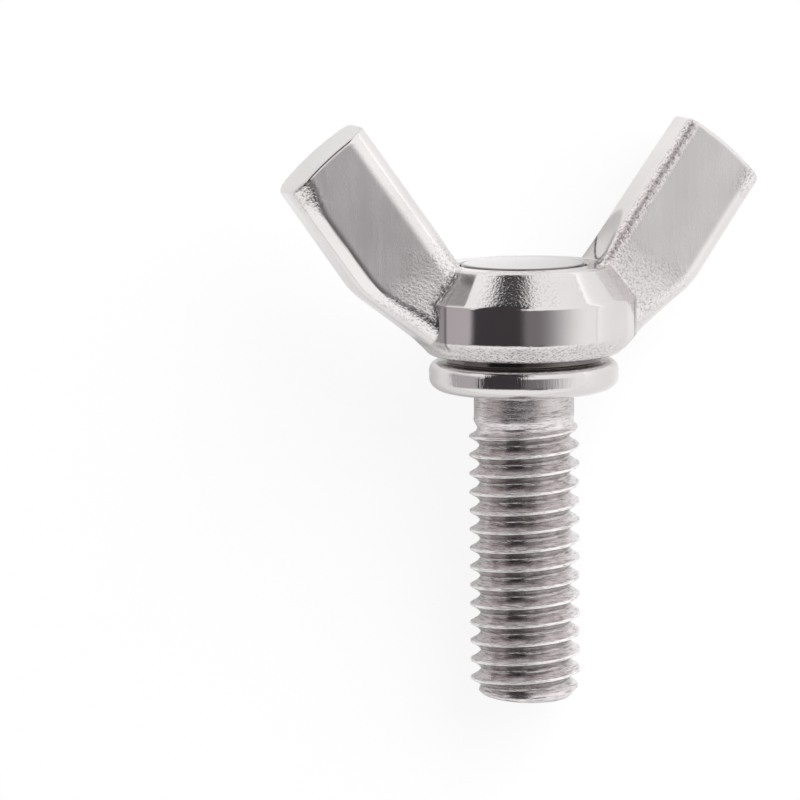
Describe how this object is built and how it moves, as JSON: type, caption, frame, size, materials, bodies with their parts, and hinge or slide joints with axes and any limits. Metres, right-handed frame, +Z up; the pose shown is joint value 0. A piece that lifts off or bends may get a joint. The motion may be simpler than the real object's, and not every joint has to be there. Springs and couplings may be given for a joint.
{
  "type": "wing screw",
  "caption": "Wing screw: a forged head with two thick, rounded wings in a V on a round hub, pressed onto a threaded stud with a round collar under the hub.",
  "frame": {"origin": "on the surface that the screw rests on, below the middle of its bounding box", "axes": "+Z up from the resting surface; +Y along the screw from the thread's end towards the wings, level; the stud's axis rises towards the head by about nine degrees; +X to the side"},
  "size_m": [0.024, 0.0308, 0.0144],
  "materials": {
    "forged_stainless": "tumbled bright stainless steel, satin wing sides and mirror-like hub",
    "rolled_stainless": "bright turned collar and darker rolled thread, stainless steel"
  },
  "bodies": {
    "root": {"wing_head": "forged_stainless", "flanged_stud": "rolled_stainless"}
  },
  "joints": []
}
